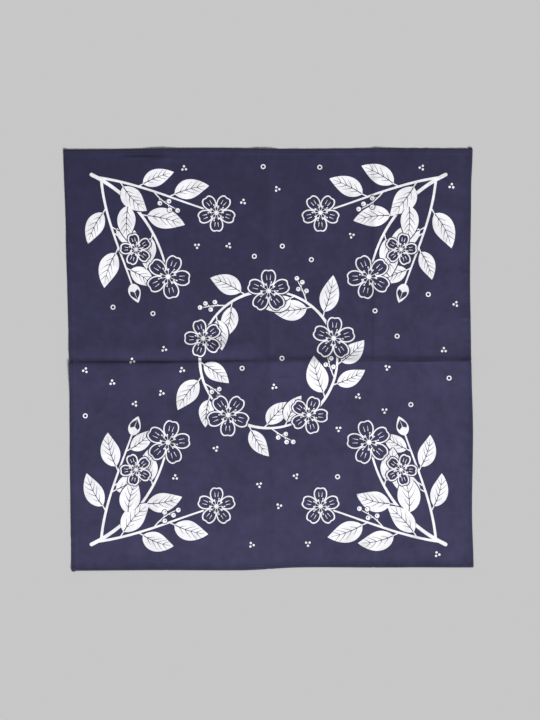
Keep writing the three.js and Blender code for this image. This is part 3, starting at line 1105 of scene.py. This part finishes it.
class Signal:
    """A shader value that arithmetic can be written with."""

    def __init__(self, finish, socket):
        self.finish = finish
        self.socket = socket

    def __add__(self, other):
        return self.finish.math("ADD", self, other)

    def __sub__(self, other):
        return self.finish.math("SUBTRACT", self, other)

    def __rsub__(self, other):
        return self.finish.math("SUBTRACT", other, self)

    def __mul__(self, other):
        return self.finish.math("MULTIPLY", self, other)

    __radd__ = __add__
    __rmul__ = __mul__


class Finish:
    """A material in the making."""

    def __init__(self, name):
        self.material = bpy.data.materials.new(name)
        self.material.use_nodes = True
        self.tree = self.material.node_tree
        self.tree.nodes.clear()

    def node(self, kind, settings=None, values=None, output=0):
        """A new node's output. Its settings come first, then the values or links of its sockets."""
        node = self.tree.nodes.new(kind)
        for key, value in (settings or {}).items():
            setattr(node, key, value)
        for key, value in (values or {}).items():
            socket = self.found(node.inputs, key)
            if isinstance(value, Signal):
                self.tree.links.new(value.socket, socket)
            else:
                socket.default_value = value
        return Signal(self, self.found(node.outputs, output)) if node.outputs else None

    @staticmethod
    def found(sockets, key):
        if isinstance(key, int):
            return sockets[key]
        return next(socket for socket in sockets if key in (socket.identifier, socket.name))

    def math(self, operation, *values):
        return self.node("ShaderNodeMath", {"operation": operation}, dict(enumerate(values)))

    def blend(self, share, first, second):
        """One colour where share is 0 and another where it is 1."""
        values = {"Factor_Float": share, "A_Color": first, "B_Color": second}
        return self.node("ShaderNodeMix", {"data_type": "RGBA"}, values, "Result_Color")

    def toned(self, colour, share):
        """A colour made darker or paler by a share that may pass 1."""
        settings = {"data_type": "RGBA", "blend_type": "MULTIPLY"}
        values = {"Factor_Float": 1.0, "A_Color": colour, "B_Color": share}
        return self.node("ShaderNodeMix", settings, values, "Result_Color")

    def place(self):
        return self.node("ShaderNodeTexCoord", output="Object")

    def axis(self, place, name):
        return self.node("ShaderNodeSeparateXYZ", values={"Vector": place}, output=name)

    def moved(self, place, scale):
        return self.node("ShaderNodeMapping", values={"Vector": place, "Scale": scale})

    def noise(self, place, scale, detail=2.0):
        """Noise from about -1 to 1."""
        values = {"Vector": place, "Scale": scale, "Detail": detail, "Roughness": 0.55}
        return self.node("ShaderNodeTexNoise", values=values) * 2.0 - 1.0

    def bump(self, height, strength, distance):
        values = {"Height": height, "Strength": strength, "Distance": distance}
        return self.node("ShaderNodeBump", values=values)

    def done(self, colour, bump, roughness, specular, sheen=0.0, sheen_roughness=0.5):
        values = {
            "Base Color": colour,
            "Normal": bump,
            "Roughness": roughness,
            "Specular IOR Level": specular,
            "Sheen Weight": sheen,
            "Sheen Roughness": sheen_roughness,
        }
        shader = self.node("ShaderNodeBsdfPrincipled", values=values)
        self.node("ShaderNodeOutputMaterial", values={"Surface": shader})
        return self.material


def coloured(colour):
    return (*colour, 1.0)


BLACK = (0.0, 0.0, 0.0, 1.0)


class Surface(NamedTuple):
    """How cotton takes the light: the shade between its threads, its bump, roughness and sheen."""

    weave_shade: float
    bump: float
    roughness: float
    sheen: float


DYED = Surface(0.3, 0.35, 0.92, 0.06)
PRINTED = Surface(0.05, 0.25, 0.85, 0.0)
REVERSE = Surface(0.3, 0.35, 0.95, 0.06)
REVERSE_PRINTED = Surface(0.2, 0.35, 0.95, 0.06)


def cotton(name, sizes, colour, painted_lit, surface):
    """Plain-weave cotton, from colour at the top left to paler at the bottom right by painted light."""
    finish = Finish(name)
    place = finish.place()
    x = finish.axis(place, "X")
    y = finish.axis(place, "Y")

    # Threads wander a little, and the thick ones are the slubs
    wander = finish.noise(place, scale=160.0) * 0.35
    turn = math.pi / sizes.thread_pitch
    warp = finish.math("SINE", x * turn + wander)
    weft = finish.math("SINE", y * turn + wander)
    over = warp * weft * 0.5 + 0.5
    weave = finish.math("ABSOLUTE", warp) * over + finish.math("ABSOLUTE", weft) * (1.0 - over)
    warp_slubs = finish.noise(finish.moved(place, (1.0, 0.03, 1.0)), scale=1500.0)
    weft_slubs = finish.noise(finish.moved(place, (0.03, 1.0, 1.0)), scale=1500.0)
    slubs = warp_slubs + weft_slubs

    # The dye is uneven in drifts, patches and a fine mottle, over painted light, paler to the bottom right
    drift = finish.noise(place, scale=14.0, detail=3.0)
    # Painted light: the share runs towards the paler colour at the bottom right, plus the random drift
    painted_light_and_drift = x * (0.35 / sizes.width) - y * (0.95 / sizes.length) + 0.62 + drift * 0.14
    ground = finish.blend(painted_light_and_drift, coloured(colour), coloured(painted_lit))
    patches = finish.noise(place, scale=40.0, detail=3.0)
    fine = finish.noise(place, scale=100.0, detail=4.0)
    mottle = fine * 0.2 + patches * 0.26 + drift * 0.1 + slubs * 0.12
    shaded = finish.toned(ground, 1.0 - (1.0 - weave) * surface.weave_shade + mottle)

    height = weave * 0.7 + slubs * 0.35 + finish.noise(place, scale=420.0) * 0.5
    bump = finish.bump(height, surface.bump, 0.12 * MM)
    return finish.done(shaded, bump, surface.roughness, 0.25, surface.sheen, 0.6)


def thread_finish(name, colour):
    """Spun sewing thread, with fine strands."""
    finish = Finish(name)
    strands = finish.noise(finish.place(), scale=2600.0, detail=3.0)
    shaded = finish.blend(strands * 0.12 + 0.12, coloured(colour), BLACK)
    return finish.done(shaded, finish.bump(strands, 0.4, 0.05 * MM), 0.7, 0.35, 0.1)


def table_finish(name, colour):
    """Matt painted board, the same all over but for the finest tooth."""
    finish = Finish(name)
    tooth = finish.noise(finish.place(), scale=900.0)
    shaded = finish.blend(tooth * 0.006 + 0.006, coloured(colour), BLACK)
    return finish.done(shaded, finish.bump(tooth, 0.05, 0.05 * MM), 0.95, 0.0)


def hem_finish(name, sizes, colours, tone):
    """The dyed cotton of the ground, darkened on the hems by tone: painted shade along the edges."""
    # tone darkens the hem's colours: painted shade along the cloth's edge
    dye = [share * tone for share in colours.dye]
    # The bottom-right colour is painted light, as in cotton
    painted_lit = [share * tone for share in colours.painted_lit_dye]
    return cotton(name, sizes, dye, painted_lit, DYED)


class BANDANA_OT_panel(bpy.types.Operator):
    """Lay the printed panel, one thin sheet of cotton with its creases"""

    bl_idname = "bandana.panel"
    bl_label = "Printed panel"

    def execute(self, context):
        sizes = context.scene.bandana_sizes
        colours = context.scene.bandana_colours
        outline = Outline(sizes.width, sizes.length)
        half = np.array([sizes.width, sizes.length]) / 2 - PRINT_MARGIN
        art = floral_print(half)
        points, faces, covered = panel_plan(outline, art).cut()
        x, y = points.T
        inward = outline.inward(x, y)
        step = HEM_STEP * np.exp(-np.clip(inward - HEM_STEP_PLACE, 0, None) / HEM_STEP_REACH)
        sink = PANEL_SINK * (1 - eased(inward, PANEL_RIM, PANEL_RIM + SINK_BREADTH))
        height = rise(sizes, outline, x, y) + step - sink + sizes.thickness
        panel = cloth_object("panel_cloth", np.stack([x, y, height], 1), faces)
        finishes = (
            cotton("dyed_cotton", sizes, colours.dye, colours.painted_lit_dye, DYED),
            cotton("white_print", sizes, colours.ink, colours.painted_lit_ink, PRINTED),
            cotton("reverse_cotton", sizes, colours.reverse, colours.reverse, REVERSE),
            cotton("reverse_print", sizes, colours.reverse_ink, colours.reverse_ink, REVERSE_PRINTED),
        )
        for finish in finishes:
            panel.data.materials.append(finish)
        prints = np.array([False, *art.prints], int)
        panel.data.polygons.foreach_set("material_index", prints[np.array(covered)])
        work_on(panel)
        wall = panel.modifiers.new("wall", "SOLIDIFY")
        wall.thickness = sizes.thickness
        wall.offset = -1
        wall.material_offset = 2
        wall.material_offset_rim = 0
        bpy.ops.object.modifier_apply(modifier="wall")
        bpy.ops.object.shade_smooth_by_angle(angle=math.radians(60))
        lay_out_panel(panel.data, outline)
        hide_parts("panel")
        return {"FINISHED"}


class BANDANA_OT_hems(bpy.types.Operator):
    """Turn the four hems, each a flat roll of three layers"""

    bl_idname = "bandana.hems"
    bl_label = "Hems"

    def execute(self, context):
        sizes = context.scene.bandana_sizes
        outline = Outline(sizes.width, sizes.length)
        colours = context.scene.bandana_colours
        # The hems get painted shade, darkest on the bottom hem
        finish = hem_finish("hem_cotton", sizes, colours, colours.hem_painted_shade_tone)
        bottom_finish = hem_finish("bottom_hem_cotton", sizes, colours, colours.bottom_hem_painted_shade_tone)
        for side in HEMS:
            band = make_band(f"hem_{side}_cloth", Hem(sizes, outline, side).sections(), f"hem_{side}")
            band.data.materials.append(bottom_finish if side == "bottom" else finish)
        return {"FINISHED"}


class BANDANA_OT_stitching(bpy.types.Operator):
    """Sew the hems down with a row of stitches on each face"""

    bl_idname = "bandana.stitching"
    bl_label = "Hem stitching"

    def execute(self, context):
        sizes = context.scene.bandana_sizes
        outline = Outline(sizes.width, sizes.length)
        stitch = one_stitch(sizes.stitch_length, STITCH_WIDTH)
        pitch = sizes.stitch_length + sizes.stitch_gap
        dice = random.Random(4)
        points = []
        faces = []
        count = 0
        for side in HEMS:
            for up, face_up in ((SEAM_TOP, True), (SEAM_UNDER, False)):
                line = Hem(sizes, outline, side).seam(up)
                placed, joined = stitches_along(line, stitch, pitch, face_up, dice)
                points.append(placed)
                faces.extend(tuple(corner + count for corner in face) for face in joined)
                count += len(placed)
        stitches = cloth_object("hem_stitches", np.vstack(points), faces)
        stitches.data.materials.append(thread_finish("navy_thread", context.scene.bandana_colours.thread))
        work_on(stitches)
        bpy.ops.object.shade_smooth()
        return {"FINISHED"}


CAMERA_PLACE = (0.0019, -0.0006, 2.3)
LENS = 89.66
SUN_ELEVATION = math.radians(33)
SUN_HEADING = (0.45, -0.9)
SUN_SPREAD = math.radians(22)
SUN_STRENGTH = 5.0
SKY_STRENGTH = 0.29


class BANDANA_OT_stage(bpy.types.Operator):
    """Set the pale table top, the soft light and the camera straight above"""

    bl_idname = "bandana.stage"
    bl_label = "Stage"

    def execute(self, context):
        scene = context.scene
        bpy.ops.object.select_all(action="DESELECT")
        bpy.ops.mesh.primitive_plane_add(size=30, location=(0, 0, -0.1 * MM))
        floor = context.object
        floor.name = "floor"
        floor.data.materials.append(table_finish("pale_board", scene.bandana_colours.floor))

        sun = new_object("window", bpy.data.lights.new("window", "SUN"))
        sun.data.energy = SUN_STRENGTH
        sun.data.angle = SUN_SPREAD
        aside = Vector(SUN_HEADING).normalized() * math.cos(SUN_ELEVATION)
        towards = Vector((*aside, math.sin(SUN_ELEVATION)))
        sun.rotation_euler = towards.to_track_quat("Z", "Y").to_euler()
        sun.location = 3 * towards

        world = bpy.data.worlds.new("studio")
        world.use_nodes = True
        sky = world.node_tree.nodes["Background"]
        sky.inputs["Color"].default_value = (1, 1, 1, 1)
        sky.inputs["Strength"].default_value = SKY_STRENGTH
        scene.world = world
        scene.view_settings.view_transform = "Standard"

        camera = new_object("camera", bpy.data.cameras.new("camera"))
        camera.data.lens = LENS
        camera.data.sensor_width = 36
        camera.location = CAMERA_PLACE
        scene.camera = camera
        return {"FINISHED"}


class BANDANA_PT_panel(bpy.types.Panel):
    """Lists the steps in which the bandana is made"""

    bl_idname = "BANDANA_PT_panel"
    bl_label = "Bandana"
    bl_space_type = "VIEW_3D"
    bl_region_type = "UI"
    bl_category = "Bandana"

    def draw(self, context):
        layout = self.layout
        for group in (context.scene.bandana_sizes, context.scene.bandana_colours):
            box = layout.box()
            for name in group.__annotations__:
                box.prop(group, name)
        for step in STEPS:
            layout.operator(step.bl_idname)


STEPS = (BANDANA_OT_panel, BANDANA_OT_hems, BANDANA_OT_stitching, BANDANA_OT_stage)
CLASSES = (BandanaSizes, BandanaColours, *STEPS, BANDANA_PT_panel)


def register():
    for kind in CLASSES:
        bpy.utils.register_class(kind)
    bpy.types.Scene.bandana_sizes = PointerProperty(type=BandanaSizes)
    bpy.types.Scene.bandana_colours = PointerProperty(type=BandanaColours)


def unregister():
    del bpy.types.Scene.bandana_colours
    del bpy.types.Scene.bandana_sizes
    for kind in reversed(CLASSES):
        bpy.utils.unregister_class(kind)


def write_sizes():
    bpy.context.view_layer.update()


def main():
    register()
    bpy.ops.bandana.panel()
    bpy.ops.bandana.hems()
    bpy.ops.bandana.stitching()
    bpy.ops.bandana.stage()
    write_sizes()


if __name__ == "__main__":
    main()
